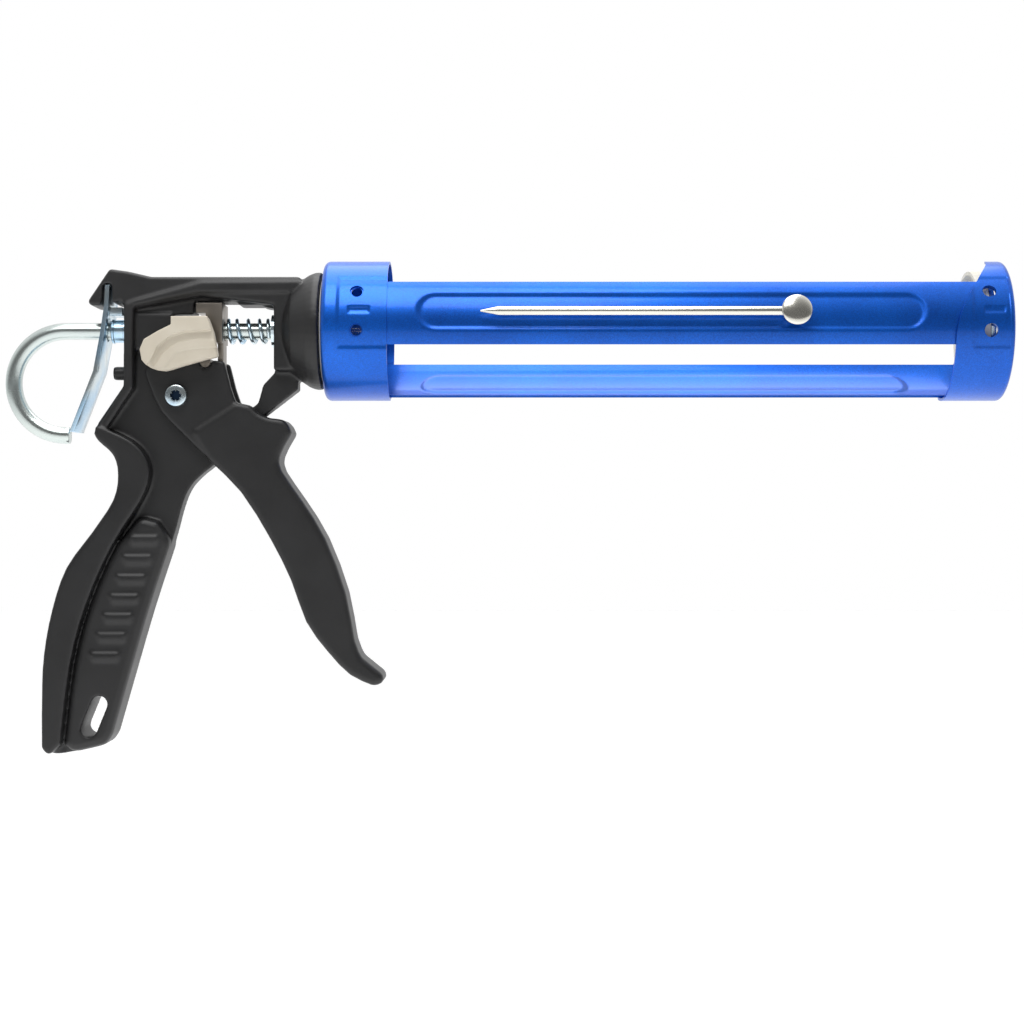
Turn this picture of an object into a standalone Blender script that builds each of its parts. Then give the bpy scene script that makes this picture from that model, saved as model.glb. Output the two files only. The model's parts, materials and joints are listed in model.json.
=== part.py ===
"""Caulking gun with a revolving cartridge cradle: a parametric assembly for Blender 4.5.

Every size below is in millimetres. +X points towards the nozzle end, +Z is up, and the pieces
are laid out from the barrel axis, where the collar's rear face is at x = 0. The finished
assembly hangs from one empty that puts the world origin in the middle of the hand grip.
"""

import math

import bmesh
import bpy
from mathutils import Vector

MM = 0.001

# Clearances
GAP = 0.3              # between pieces that touch
RUN_GAP = 0.35         # radial, between a shaft and what it turns or slides in

# Hand grip reference point, in the layout frame: the world origin
GRIP_POINT = (-72.0, 0.0, -88.0)

# Cartridge cradle
CARTRIDGE_DIAMETER = 49.6
SHEET = 0.9            # rail sheet thickness
BAND = 1.0             # collar and ring sheet thickness
COLLAR_LENGTH = 25.1
CRADLE_LENGTH = 262.5  # collar's rear face to the ring's front face
RING_LENGTH = 22.5
RING_TIP_LENGTH = 6.5  # the ring is this long at the ends of its C
RING_COVER = 138.5     # half angle that the ring covers, degrees
RING_TAPER = 45.0      # the ring starts to narrow this far from the cradle's bottom, degrees
RING_LIP_RADIUS = 18.5
RAIL_OFFSET = 68.5     # rail centre from the cradle's bottom, degrees
RAIL_HALF_SPAN = 29.0  # degrees
RAIL_LAP = 20.0        # how far a rail runs into the collar
CRADLE_ROLL = 34.5     # the cradle's bottom is turned this far towards -Y, degrees
CLINCH_RADIUS = 2.6
CLINCH_SPREAD = 17.0   # clinch holes from a rail's centre, degrees
END_PLATE = 1.2

# Push rod and piston
ROD_RADIUS = 3.25
HOOK_RADIUS = 20.3
HOOK_X = -101.4        # where the rod starts to bend
PISTON_X = 256.0       # front face of the piston with the rod fully forward
PISTON_RADIUS = 23.2
PISTON_PLATE = 2.0
PISTON_DISH = 0.6      # depth of the pressed seat that the front nut sits in
PISTON_DISH_RADIUS = 7.4

# Body casting
WEB_HALF = 5.0         # half thickness of the web between the trigger's cheeks
FRAME_HALF = 10.0      # half width of the hood, top rib and rear wall
GRIP_HALF = 12.0       # half width of the grip's spine
PANEL_HALF = 10.0      # half width of the grip's side panels
FLANGE_RADIUS = 22.8
FLANGE_FRONT = -1.2
SPIGOT_RADIUS = 12.0
BUSH_RADIUS = ROD_RADIUS + 2.75
REAR_WALL = -77.2      # outer face of the rear wall
WALL_INNER = -73.0     # its inner face
BOSS_REAR = -19.4      # rear face of the front boss

# Trigger
PIVOT = (-56.7, -25.6)  # x and z of the trigger's hinge
PIVOT_RADIUS = 2.6
CHEEK_HALF = 9.6
TRIGGER_HALF = 10.5
SCREW_HEAD_RADIUS = 4.3
ROLLER_RADIUS = 2.0
ROLLER_OFFSET = (11.0, 13.0)

# Drive plate, springs and release plate
DRIVE_X = -41.6        # rear face of the drive plate at rest
DRIVE_THICKNESS = 2.2
TONGUE_HALF = 4.6      # half width of the plate's tongue between the cheeks
SPRING_RADIUS = ROD_RADIUS + 1.85
RELEASE_THICKNESS = 1.8
RELEASE_HALF = 9.0
RELEASE_TOP = (-83.6, 17.3)

# Selector lever
SELECTOR_PIN = (-62.5, -3.4)
SELECTOR_PIN_RADIUS = 2.0
LEVER_THICKNESS = 5.0

# Puncture needle on the near rail
NEEDLE_PIVOT_X = 179.4
NEEDLE_ANGLE = 10.2    # where the needle lies round the barrel, from -Y upwards, degrees
NEEDLE_LENGTH = 119.0
NEEDLE_RADIUS = 1.8
NEEDLE_EYE_RADIUS = 5.0

RAIL_INNER = CARTRIDGE_DIAMETER / 2 + 0.05
RAIL_OUTER = RAIL_INNER + SHEET
BAND_INNER = RAIL_OUTER + GAP
BAND_OUTER = BAND_INNER + BAND
BOTTOM_ANGLE = -90.0 + CRADLE_ROLL
NEAR_ANGLE = BOTTOM_ANGLE + RAIL_OFFSET
FAR_ANGLE = BOTTOM_ANGLE - RAIL_OFFSET
NEEDLE_LIFT = BAND_OUTER + GAP + NEEDLE_RADIUS


# ---------------------------------------------------------------- helpers

def clear_scene():
    """Remove every object that the new file came with."""
    for old in list(bpy.data.objects):
        bpy.data.objects.remove(old, do_unlink=True)


def collection(name):
    made = bpy.data.collections.new(name)
    bpy.context.scene.collection.children.link(made)
    return made


def material(name, colour, roughness, metallic=0.0):
    """A Principled material; colour is linear RGB."""
    made = bpy.data.materials.new(name)
    made.use_nodes = True
    shader = made.node_tree.nodes["Principled BSDF"]
    shader.inputs["Base Color"].default_value = (*colour, 1.0)
    shader.inputs["Roughness"].default_value = roughness
    shader.inputs["Metallic"].default_value = metallic
    return made


def angle_point(radius, degrees):
    """Y and Z at an angle round the barrel, from -Y upwards."""
    turn = math.radians(degrees)
    return (-radius * math.cos(turn), radius * math.sin(turn))


def arc(centre, radius, start, end, steps):
    """Points on an arc in the side plane, angles in degrees from +X towards +Z."""
    points = []
    for step in range(steps + 1):
        turn = math.radians(start + (end - start) * step / steps)
        points.append((centre[0] + radius * math.cos(turn), centre[1] + radius * math.sin(turn)))
    return points


def smooth(points, steps=3):
    """A Catmull-Rom curve through the points, ends kept."""
    padded = [points[0]] + list(points) + [points[-1]]
    result = []
    for i in range(1, len(padded) - 2):
        a, b, c, d = (Vector(padded[i + k]) for k in (-1, 0, 1, 2))
        for step in range(steps):
            t = step / steps
            place = 0.5 * (2 * b + (c - a) * t + (2 * a - 5 * b + 4 * c - d) * t * t
                           + (3 * b - a - 3 * c + d) * t * t * t)
            result.append(tuple(place))
    result.append(tuple(points[-1]))
    return result


def finish_mesh(target):
    """Set crisp edges on a piece and round shading elsewhere."""
    target.data.shade_smooth()
    target.data.set_sharp_from_angle(angle=math.radians(35))


def add_object(name, mesh, home, surface=None):
    made = bpy.data.objects.new(name, mesh)
    home.objects.link(made)
    if surface:
        mesh.materials.append(surface)
    return made


def guide(made):
    """Mark an object as a cutter or guide, which is no part of the model."""
    made.hide_render = True
    made.display_type = "WIRE"
    return made


def mesh_from_curve(source):
    """Replace a curve object by a mesh object with its caps welded."""
    bpy.context.view_layer.update()
    graph = bpy.context.evaluated_depsgraph_get()
    mesh = bpy.data.meshes.new_from_object(source.evaluated_get(graph))
    work = bmesh.new()
    work.from_mesh(mesh)
    bmesh.ops.remove_doubles(work, verts=work.verts, dist=0.00001)
    bmesh.ops.dissolve_limit(work, angle_limit=math.radians(1), verts=work.verts, edges=work.edges)
    bmesh.ops.recalc_face_normals(work, faces=work.faces)
    work.to_mesh(mesh)
    work.free()
    made = bpy.data.objects.new(source.name, mesh)
    made.matrix_world = source.matrix_world.copy()
    name = source.name
    for home in source.users_collection:
        home.objects.link(made)
    bpy.data.objects.remove(source, do_unlink=True)
    made.name = name
    return made


def outline_solid(name, points, low, high, home, surface=None, bevel=0.0):
    """A flat outline in the side plane (x, z), from y = low to y = high."""
    curve = bpy.data.curves.new(name, "CURVE")
    curve.dimensions = "2D"
    curve.fill_mode = "BOTH"
    curve.extrude = (high - low) / 2 * MM
    line = curve.splines.new("POLY")
    line.points.add(len(points) - 1)
    for point, (x, z) in zip(line.points, points):
        point.co = (x * MM, z * MM, 0.0, 1.0)
    line.use_cyclic_u = True
    drawn = bpy.data.objects.new(name, curve)
    drawn.rotation_euler = (math.radians(90), 0.0, 0.0)
    drawn.location = (0.0, (low + high) / 2 * MM, 0.0)
    home.objects.link(drawn)
    made = mesh_from_curve(drawn)
    if surface:
        made.data.materials.append(surface)
    if bevel:
        edge = made.modifiers.new("rounded edges", "BEVEL")
        edge.width = bevel * MM
        edge.segments = 2
        edge.limit_method = "ANGLE"
        edge.angle_limit = math.radians(50)
    return made


def turned(name, profile, home, surface=None, steps=40):
    """A turned piece on the barrel axis; the profile is (x, radius) from front to rear."""
    mesh = bpy.data.meshes.new(name)
    closed = profile[0][1] > 0
    corners = [(radius * MM, 0.0, x * MM) for x, radius in profile]
    edges = [(i, i + 1) for i in range(len(corners) - 1)]
    if closed:
        edges.append((len(corners) - 1, 0))
    mesh.from_pydata(corners, edges, [])
    made = add_object(name, mesh, home, surface)
    made.rotation_euler = (0.0, math.radians(90), 0.0)
    spin = made.modifiers.new("turned", "SCREW")
    spin.steps = steps
    spin.render_steps = steps
    spin.use_merge_vertices = True
    spin.merge_threshold = 0.00001
    return made


def ring_profile(front, rear, outer, inner, chamfer=0.0):
    """A tube's section, run from front to rear on its outer side and back inside."""
    if not chamfer:
        return [(front, outer), (rear, outer), (rear, inner), (front, inner)]
    return [(front, outer - chamfer), (front - chamfer, outer), (rear + chamfer, outer),
            (rear, outer - chamfer), (rear, inner), (front, inner)]


def cylinder(name, start, end, radius, home, surface=None, sides=24, far_radius=None):
    """A round bar between two points in the layout frame."""
    a = Vector(start) * MM
    b = Vector(end) * MM
    mesh = bpy.data.meshes.new(name)
    work = bmesh.new()
    bmesh.ops.create_cone(work, cap_ends=True, segments=sides, radius1=radius * MM,
                          radius2=(radius if far_radius is None else far_radius) * MM,
                          depth=(b - a).length)
    work.to_mesh(mesh)
    work.free()
    made = add_object(name, mesh, home, surface)
    made.rotation_euler = (b - a).to_track_quat("Z", "X").to_euler()
    made.location = (a + b) / 2
    return made


def tube(name, points, radius, home, surface=None):
    """A round wire along points in the layout frame, with filled ends."""
    curve = bpy.data.curves.new(name, "CURVE")
    curve.dimensions = "3D"
    curve.bevel_depth = radius * MM
    curve.bevel_resolution = 2
    curve.use_fill_caps = True
    line = curve.splines.new("POLY")
    line.points.add(len(points) - 1)
    for point, place in zip(line.points, points):
        point.co = (*(Vector(place) * MM), 1.0)
    drawn = bpy.data.objects.new(name, curve)
    home.objects.link(drawn)
    made = mesh_from_curve(drawn)
    if surface:
        made.data.materials.append(surface)
    return made


def combine(target, other, operation):
    """Cut or join another solid, which becomes a guide."""
    step = target.modifiers.new(operation.lower() + " " + other.name, "BOOLEAN")
    if target.name == "frame_casting":
        step.solver = "MANIFOLD"  # its joined solids share side faces
    step.operation = operation
    step.object = guide(other)
    return target


def shell(name, rows, home, surface, thickness):
    """A curved sheet from rows of points, thickened inwards."""
    mesh = bpy.data.meshes.new(name)
    work = bmesh.new()
    grid = [[work.verts.new(Vector(p) * MM) for p in row] for row in rows]
    for row, following in zip(grid, grid[1:]):
        for i in range(len(row) - 1):
            work.faces.new((row[i], following[i], following[i + 1], row[i + 1]))
    work.to_mesh(mesh)
    work.free()
    made = add_object(name, mesh, home, surface)
    wall = made.modifiers.new("sheet", "SOLIDIFY")
    wall.thickness = thickness * MM
    wall.offset = -1.0
    wall.use_even_offset = True
    return made


# ---------------------------------------------------------------- surfaces

clear_scene()
PART = collection("caulking_gun")
GUIDES = collection("guides")

BLACK = material("black_polyamide", (0.022, 0.022, 0.023), 0.45)
BLUE = material("blue_metallic_paint", (0.005, 0.085, 0.52), 0.3, 0.5)
ZINC = material("zinc_plated_steel", (0.62, 0.68, 0.7), 0.3, 1.0)
NICKEL = material("nickel_plated_steel", (0.68, 0.68, 0.64), 0.25, 1.0)
BEIGE = material("cast_zinc_lever", (0.6, 0.57, 0.5), 0.45, 0.3)
STEEL = material("hardened_steel", (0.28, 0.26, 0.23), 0.4, 1.0)
BRONZE = material("sintered_bronze", (0.35, 0.2, 0.08), 0.5, 1.0)
SEAL = material("seal_rubber", (0.72, 0.71, 0.67), 0.7)

# ---------------------------------------------------------------- body casting

BACK_OF_GRIP = smooth([(-88.6, -39.6), (-86.6, -43.1), (-80.9, -48.5), (-79.1, -56.0), (-80.9, -65.8),
                       (-88.9, -78.1), (-98.9, -91.9), (-104.4, -108.0), (-107.6, -125.4),
                       (-108.4, -142.0), (-108.4, -161.0)])
BUTT = smooth([(-108.4, -161.0), (-106.3, -163.4), (-102.0, -164.0), (-87.0, -160.9), (-83.6, -159.2),
               (-81.6, -156.0)])
FRONT_OF_GRIP = smooth([(-81.6, -156.0), (-77.8, -142.7), (-67.8, -108.1), (-59.0, -81.2),
                        (-55.9, -69.6), (-53.2, -62.4), (-49.3, -57.3), (-42.4, -51.7)])
CREASE = smooth([(-84.0, -38.1), (-74.3, -42.7), (-68.6, -48.5), (-66.8, -56.0), (-70.1, -65.8),
                 (-81.3, -83.5), (-91.3, -106.2), (-97.4, -129.2), (-101.3, -160.0)])
WALL_BACK = [(REAR_WALL, 9.0), (REAR_WALL, -21.6), (-87.6, -36.9)]


def make_web():
    """The narrow middle web and the core of the grip, which the cheeks straddle."""
    outline = (WALL_BACK + BACK_OF_GRIP + BUTT[1:] + FRONT_OF_GRIP[1:]
               + [(-30.0, -38.5), (-23.6, -33.1), (-10.5, -23.0), (-10.5, 9.0)])
    return outline_solid("frame_casting", outline, -WEB_HALF, WEB_HALF, PART, BLACK)


def make_upper_frame():
    """Hood, top rib and front wall at the full frame width."""
    outline = [(-91.1, 10.8), (-90.1, 9.2), (-85.5, 9.2), (-78.0, 10.8), (REAR_WALL, 9.0),
               (REAR_WALL, -21.6), (-87.6, -36.9), (-84.0, -38.1), (-73.4, -22.7), (WALL_INNER, 8.0),
               (-47.4, 12.7), (BOSS_REAR, 9.5), (BOSS_REAR, -16.0), (-9.0, -16.0), (-9.0, 20.3),
               (-66.6, 20.3), (-75.1, 22.3), (-82.6, 23.4)]
    return outline_solid("upper_frame", outline, -FRAME_HALF, FRAME_HALF, GUIDES, bevel=1.0)


def make_spine():
    """The wide rear band of the grip, from the rear wall to the butt."""
    outline = [(-87.6, -36.9)] + BACK_OF_GRIP[1:-1] + BUTT[:5] + CREASE[::-1]
    return outline_solid("grip_spine", outline, -GRIP_HALF, GRIP_HALF, GUIDES, bevel=2.4)


def make_panel():
    """The grip's side panels, ahead of the crease and clear of the closed trigger."""
    front = [point for point in FRONT_OF_GRIP if point[1] < -80.0]
    rear = [(x + 1.0, z) for x, z in CREASE if z < -78.0]
    outline = [(x, z) for x, z in BUTT if x > -100.0] + front + [(-64.0, -74.0), (-71.0, -72.0)] + rear
    return outline_solid("grip_panel", outline, -PANEL_HALF, PANEL_HALF, GUIDES, bevel=2.6)


def make_boss():
    """The conical front boss, its flange and the spigot that the cradle turns on."""
    profile = [(5.2, SPIGOT_RADIUS), (3.6, SPIGOT_RADIUS), (3.6, SPIGOT_RADIUS - 1.2),
               (2.2, SPIGOT_RADIUS - 1.2), (2.2, SPIGOT_RADIUS), (FLANGE_FRONT, SPIGOT_RADIUS),
               (FLANGE_FRONT, FLANGE_RADIUS), (-3.6, FLANGE_RADIUS), (-3.6, FLANGE_RADIUS - 1.0),
               (-4.4, FLANGE_RADIUS - 1.0), (-4.4, FLANGE_RADIUS - 0.3), (-6.2, FLANGE_RADIUS - 1.0),
               (-12.6, 17.5), (-16.0, 11.0), (BOSS_REAR, 9.0), (BOSS_REAR, 4.5), (5.2, 4.5)]
    return turned("front_boss", profile, GUIDES, steps=48)


def make_body():
    casting = make_web()
    for solid in (make_upper_frame(), make_spine(), make_panel(), make_boss()):
        combine(casting, solid, "UNION")
    block = outline_solid("guide_block", [(-74.0, 6.6), (-58.4, 6.6), (-58.4, -8.0), (-74.0, -8.0)],
                          -8.0, 8.0, GUIDES, bevel=0.8)
    cavity_outline = [(WALL_INNER, -8.8), (WALL_INNER, 8.0), (-47.4, 12.7), (BOSS_REAR, 8.4),
                      (BOSS_REAR, -16.2), (-24.0, -21.2), (-25.9, -28.1), (-28.2, -30.0), (-32.8, -30.0),
                      (-37.5, -26.0), (-45.0, -23.5), (-47.5, -16.0), (-51.0, -8.8)]
    cavity = outline_solid("cavity_cut", cavity_outline, -20.0, 20.0, GUIDES)
    combine(casting, cavity, "DIFFERENCE")
    combine(casting, block, "UNION")
    roof = outline_solid("window_roof", [(-74.0, 6.0), (-50.4, 6.0), (-50.4, 11.0), (-33.4, 11.0), (-33.4, 9.7),
                                         (-18.0, 9.7), (-18.0, 14.0), (-74.0, 14.0)], -7.0, 7.0, GUIDES)
    combine(casting, roof, "UNION")
    stub = cylinder("stop_stub", (REAR_WALL + 1.0, 0.0, -16.4), (-82.6, 0.0, -16.4), 2.7, GUIDES, sides=16)
    combine(casting, stub, "UNION")
    slot = outline_solid("hood_slot", [(-86.2, 5.0), (-81.3, 5.0), (-81.7, 17.7), (-85.2, 17.7)],
                         -20.0, 20.0, GUIDES)
    combine(casting, slot, "DIFFERENCE")
    bore = cylinder("rod_bore", (-95.0, 0, 0), (-9.0, 0, 0), ROD_RADIUS + 0.45, GUIDES, sides=24)
    combine(casting, bore, "DIFFERENCE")
    seat = cylinder("bush_seat", (-10.3, 0, 0), (9.0, 0, 0), BUSH_RADIUS + GAP, GUIDES, sides=32)
    combine(casting, seat, "DIFFERENCE")
    pivot_bore = cylinder("pivot_bore", (PIVOT[0], -15, PIVOT[1]), (PIVOT[0], 15, PIVOT[1]),
                          PIVOT_RADIUS + RUN_GAP, GUIDES, sides=20)
    combine(casting, pivot_bore, "DIFFERENCE")
    pin_bore = cylinder("selector_bore", (SELECTOR_PIN[0], -15, SELECTOR_PIN[1]),
                        (SELECTOR_PIN[0], -4.4, SELECTOR_PIN[1]), SELECTOR_PIN_RADIUS + GAP, GUIDES, sides=16)
    combine(casting, pin_bore, "DIFFERENCE")
    top = (-86.6, -144.4)
    low = (-90.6, -154.2)
    lean = math.degrees(math.atan2(top[1] - low[1], top[0] - low[0]))
    hang = arc(top, 3.2, lean - 90, lean + 90, 6) + arc(low, 3.2, lean + 90, lean + 270, 6)
    combine(casting, outline_solid("hanging_slot", hang, -20.0, 20.0, GUIDES), "DIFFERENCE")
    return casting


# ---------------------------------------------------------------- trigger

TRIGGER_REAR = smooth([(-69.4, -15.8), (-67.5, -21.5), (-62.9, -31.5), (-55.2, -39.6), (-44.4, -50.4),
                       (-32.0, -62.8), (-20.6, -81.0), (-12.7, -96.9), (-6.9, -112.8), (1.4, -124.3),
                       (10.0, -133.2), (18.7, -137.3)], 2)
HANDLE_TOP = 8         # the finger lever starts at this point of the rear edge
TRIGGER_TIP = smooth([(18.7, -137.3), (22.4, -136.6), (22.8, -133.4), (20.0, -130.8), (14.7, -126.5)], 2)
TRIGGER_FRONT = smooth([(14.7, -126.5), (11.9, -120.0), (8.5, -101.8), (0.6, -80.6), (-8.3, -66.0),
                        (-16.2, -54.5), (-16.9, -48.8), (-13.6, -42.3), (-12.4, -39.4), (-15.3, -35.0),
                        (-20.6, -34.2), (-25.2, -32.3), (-28.6, -29.2)], 2)


def make_trigger():
    """Cast trigger: two cheeks outside the web, a closed channel and a finger lever below."""
    handle_outline = (TRIGGER_REAR[HANDLE_TOP:] + TRIGGER_TIP[1:] + TRIGGER_FRONT[1:]
                      + [(-34.0, -28.1), (-51.3, -39.2)])
    trigger = outline_solid("trigger", handle_outline, -TRIGGER_HALF, TRIGGER_HALF, PART, BLACK, bevel=2.0)
    cheek_outline = (TRIGGER_REAR[:HANDLE_TOP + 3] + [(-30.5, -60.5), (-24.0, -40.0), (-27.0, -30.0), (-34.0, -28.1),
                                          (-36.0, -22.3), (-38.5, -12.3), (-42.5, -11.9), (-66.0, -11.9)])
    cheeks = outline_solid("cheeks", cheek_outline, -CHEEK_HALF, CHEEK_HALF, GUIDES, bevel=0.8)
    combine(trigger, cheeks, "UNION")
    channel = [(-85.0, -2.0), (-22.0, -2.0), (-20.0, -34.0), (-20.5, -50.0), (-30.0, -63.5),
               (-40.0, -72.0), (-85.0, -72.0)]
    slot_half = WEB_HALF + 0.6
    combine(trigger, outline_solid("channel_cut", channel, -slot_half, slot_half, GUIDES), "DIFFERENCE")
    bore = cylinder("trigger_bore", (PIVOT[0], -15, PIVOT[1]), (PIVOT[0], 15, PIVOT[1]),
                    PIVOT_RADIUS + RUN_GAP, GUIDES, sides=20)
    combine(trigger, bore, "DIFFERENCE")
    x = PIVOT[0] + ROLLER_OFFSET[0]
    z = PIVOT[1] + ROLLER_OFFSET[1]
    roller_bore = cylinder("roller_bore", (x, -15, z), (x, 15, z), ROLLER_RADIUS + GAP, GUIDES, sides=16)
    combine(trigger, roller_bore, "DIFFERENCE")
    roller = cylinder("push_pin", (x, -CHEEK_HALF + 0.4, z), (x, CHEEK_HALF - 0.4, z), ROLLER_RADIUS,
                      PART, STEEL, sides=16)
    return [trigger, roller]


def make_pivot():
    """Shouldered pivot screw with a hexagon socket, and its nut on the far side."""
    head_y = -CHEEK_HALF - GAP
    screw = turned("pivot_screw", [(2.4, 0.0), (2.4, SCREW_HEAD_RADIUS - 0.5), (1.9, SCREW_HEAD_RADIUS),
                                   (0.0, SCREW_HEAD_RADIUS), (0.0, PIVOT_RADIUS),
                                   (-2 * CHEEK_HALF - 3.4, PIVOT_RADIUS), (-2 * CHEEK_HALF - 3.4, 0.0)],
                   PART, ZINC, steps=24)
    screw.rotation_euler = (math.radians(90), 0.0, 0.0)
    screw.location = (PIVOT[0] * MM, head_y * MM, PIVOT[1] * MM)
    socket = cylinder("socket_cut", (PIVOT[0], head_y - 4.0, PIVOT[1]), (PIVOT[0], head_y - 0.9, PIVOT[1]),
                      2.2, GUIDES, sides=6)
    combine(screw, socket, "DIFFERENCE")
    near = CHEEK_HALF + GAP
    nut = cylinder("pivot_nut", (PIVOT[0], near, PIVOT[1]), (PIVOT[0], near + 3.0, PIVOT[1]), 4.6,
                   PART, ZINC, sides=6)
    bore = cylinder("nut_bore", (PIVOT[0], near - 2, PIVOT[1]), (PIVOT[0], near + 6, PIVOT[1]),
                    PIVOT_RADIUS + GAP, GUIDES, sides=20)
    combine(nut, bore, "DIFFERENCE")
    return [screw, nut]


# ---------------------------------------------------------------- drive and release

def rod_hole(target, name, x, radius=ROD_RADIUS + 0.5):
    """Cut the rod's passage through a plate near x."""
    return combine(target, cylinder(name, (x - 15, 0, 0), (x + 15, 0, 0), radius, GUIDES, sides=24), "DIFFERENCE")


def make_drive():
    """The plate that grips the rod, its bent tab, spring and spring seat."""
    front = DRIVE_X + DRIVE_THICKNESS
    upper = outline_solid("drive_plate", [(DRIVE_X, -20.6), (front, -20.6), (front, 10.4), (-49.5, 10.4),
                                          (-49.5, 6.6), (-45.8, 6.6), (-45.8, -4.4), (DRIVE_X, -4.4)],
                          -8.0, 8.0, PART, STEEL)
    for side in (-1, 1):
        low, high = sorted((side * TONGUE_HALF, side * 12.0))
        shoulder = [(DRIVE_X - 4, -30.0), (front + 4, -30.0), (front + 4, -5.0), (DRIVE_X - 4, -5.0)]
        combine(upper, outline_solid(f"tongue_cut_{side}", shoulder, low, high, GUIDES), "DIFFERENCE")
    rod_hole(upper, "drive_hole", DRIVE_X)
    seat = turned("spring_seat_washer", ring_profile(BOSS_REAR - GAP, BOSS_REAR - GAP - 1.2, 6.4,
                                                     ROD_RADIUS + 0.5), PART, ZINC, steps=24)
    spring = turned("drive_spring", ring_profile(BOSS_REAR - 2 * GAP - 1.2, front + GAP, SPRING_RADIUS,
                                                 SPRING_RADIUS - 1.4), PART, ZINC, steps=20)
    return upper, seat, spring


def make_release():
    """The bent thumb plate that locks the rod, its pin and its spring."""
    half = RELEASE_THICKNESS / 2
    path = [RELEASE_TOP, (-84.0, 9.0), (-85.6, -2.0), (-88.2, -16.0), (-91.4, -24.5), (-97.3, -39.4)]
    front_side = [(x + half, z) for x, z in path]
    rear_side = [(x - half, z) for x, z in path]
    plate = outline_solid("release_plate", front_side + rear_side[::-1], -RELEASE_HALF, RELEASE_HALF,
                          PART, ZINC)
    rod_hole(plate, "release_hole", -86.0, ROD_RADIUS + 0.8)
    spring = turned("release_spring", ring_profile(REAR_WALL - GAP, -83.2, 4.8, 3.8), PART, ZINC, steps=20)
    return plate, spring


def make_selector():
    """The thumb lever that turns the no-drip release on and off, and its pin."""
    outline = (smooth([(-57.3, 1.0), (-62.0, -1.3), (-67.6, -4.6), (-69.2, -8.5), (-68.4, -12.6), (-65.4, -15.4),
                       (-60.0, -16.6), (-54.3, -15.0), (-44.7, -12.3), (-39.6, -11.2)], 2)
               + [(-41.3, -2.0), (-43.6, 4.3), (-57.3, 4.1)])
    near = -CHEEK_HALF - 2.4 - 2 * GAP
    lever = outline_solid("selector_lever", outline, near - LEVER_THICKNESS, near, PART, BEIGE, bevel=1.0)
    bore = cylinder("lever_bore", (SELECTOR_PIN[0], near - 3.4, SELECTOR_PIN[1]),
                    (SELECTOR_PIN[0], near + 5, SELECTOR_PIN[1]), SELECTOR_PIN_RADIUS + RUN_GAP, GUIDES, sides=16)
    combine(lever, bore, "DIFFERENCE")
    pin = cylinder("selector_pin", (SELECTOR_PIN[0], near - 3.0, SELECTOR_PIN[1]),
                   (SELECTOR_PIN[0], -4.7, SELECTOR_PIN[1]), SELECTOR_PIN_RADIUS, PART, STEEL, sides=16)
    return lever, pin


# ---------------------------------------------------------------- rod and piston

def make_rod():
    """The push rod, bent to a hook at the rear, with the piston on its front end."""
    centre = (HOOK_X, -HOOK_RADIUS)
    bend = [(x, 0.0, z) for x, z in arc(centre, HOOK_RADIUS, 270, 90, 18)]
    path = [(HOOK_X + 1.6, 0.0, -2 * HOOK_RADIUS)] + bend + [(PISTON_X + 3.0, 0.0, 0.0)]
    rod = tube("push_rod", path, ROD_RADIUS, PART, ZINC)
    bore = ROD_RADIUS + GAP
    front = PISTON_X
    seat = front - PISTON_DISH
    plate = turned("piston_plate", [(front, PISTON_DISH_RADIUS), (front, PISTON_RADIUS - 0.4),
                                    (front - 0.4, PISTON_RADIUS), (front - PISTON_PLATE, PISTON_RADIUS),
                                    (front - PISTON_PLATE, bore), (seat, bore), (seat, PISTON_DISH_RADIUS)],
                   PART, ZINC, steps=40)
    rear = front - PISTON_PLATE - GAP
    cup = turned("piston_seal", [(rear, PISTON_RADIUS + 0.3), (rear - 4.0, PISTON_RADIUS),
                                 (rear - 4.0, PISTON_RADIUS - 1.4), (rear - 1.8, PISTON_RADIUS - 2.4),
                                 (rear - 1.8, bore), (rear, bore)], PART, SEAL, steps=40)
    washer = turned("piston_washer", ring_profile(rear - 2.1, rear - 3.5, 11.0, bore), PART, ZINC, steps=28)
    nuts = []
    for name, start in (("piston_rear_nut", rear - 3.8 - 4.0), ("piston_front_nut", seat + GAP)):
        nut = cylinder(name, (start, 0, 0), (start + 3.4, 0, 0), 6.2, PART, ZINC, sides=6)
        combine(nut, cylinder(name + "_bore", (start - 5, 0, 0), (start + 8, 0, 0), bore, GUIDES, sides=24),
                "DIFFERENCE")
        nuts.append(nut)
    return [rod, plate, cup, washer] + nuts


# ---------------------------------------------------------------- cradle

def clinch_holes(target, x, name):
    """Cut the two clinch holes over each rail."""
    for side, centre in (("near", NEAR_ANGLE), ("far", FAR_ANGLE)):
        for step, sign in enumerate((-1, 1)):
            y, z = angle_point(1.0, centre + sign * CLINCH_SPREAD)
            inner = (x, y * (RAIL_OUTER + 0.1), z * (RAIL_OUTER + 0.1))
            outer = (x, y * (BAND_OUTER + 3), z * (BAND_OUTER + 3))
            cutter = cylinder(f"{name}_{side}_{step}", inner, outer, CLINCH_RADIUS, GUIDES, sides=16)
            combine(target, cutter, "DIFFERENCE")
    return target


def make_rail(name, centre):
    """One pressed rail, curved to the cartridge."""
    rows = []
    for x in (COLLAR_LENGTH - RAIL_LAP, CRADLE_LENGTH - BAND - GAP):
        row = []
        for step in range(11):
            y, z = angle_point(RAIL_OUTER, centre + RAIL_HALF_SPAN * (step / 5 - 1))
            row.append((x, y, z))
        rows.append(row)
    return shell(name, rows, PART, BLUE, SHEET)


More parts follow.
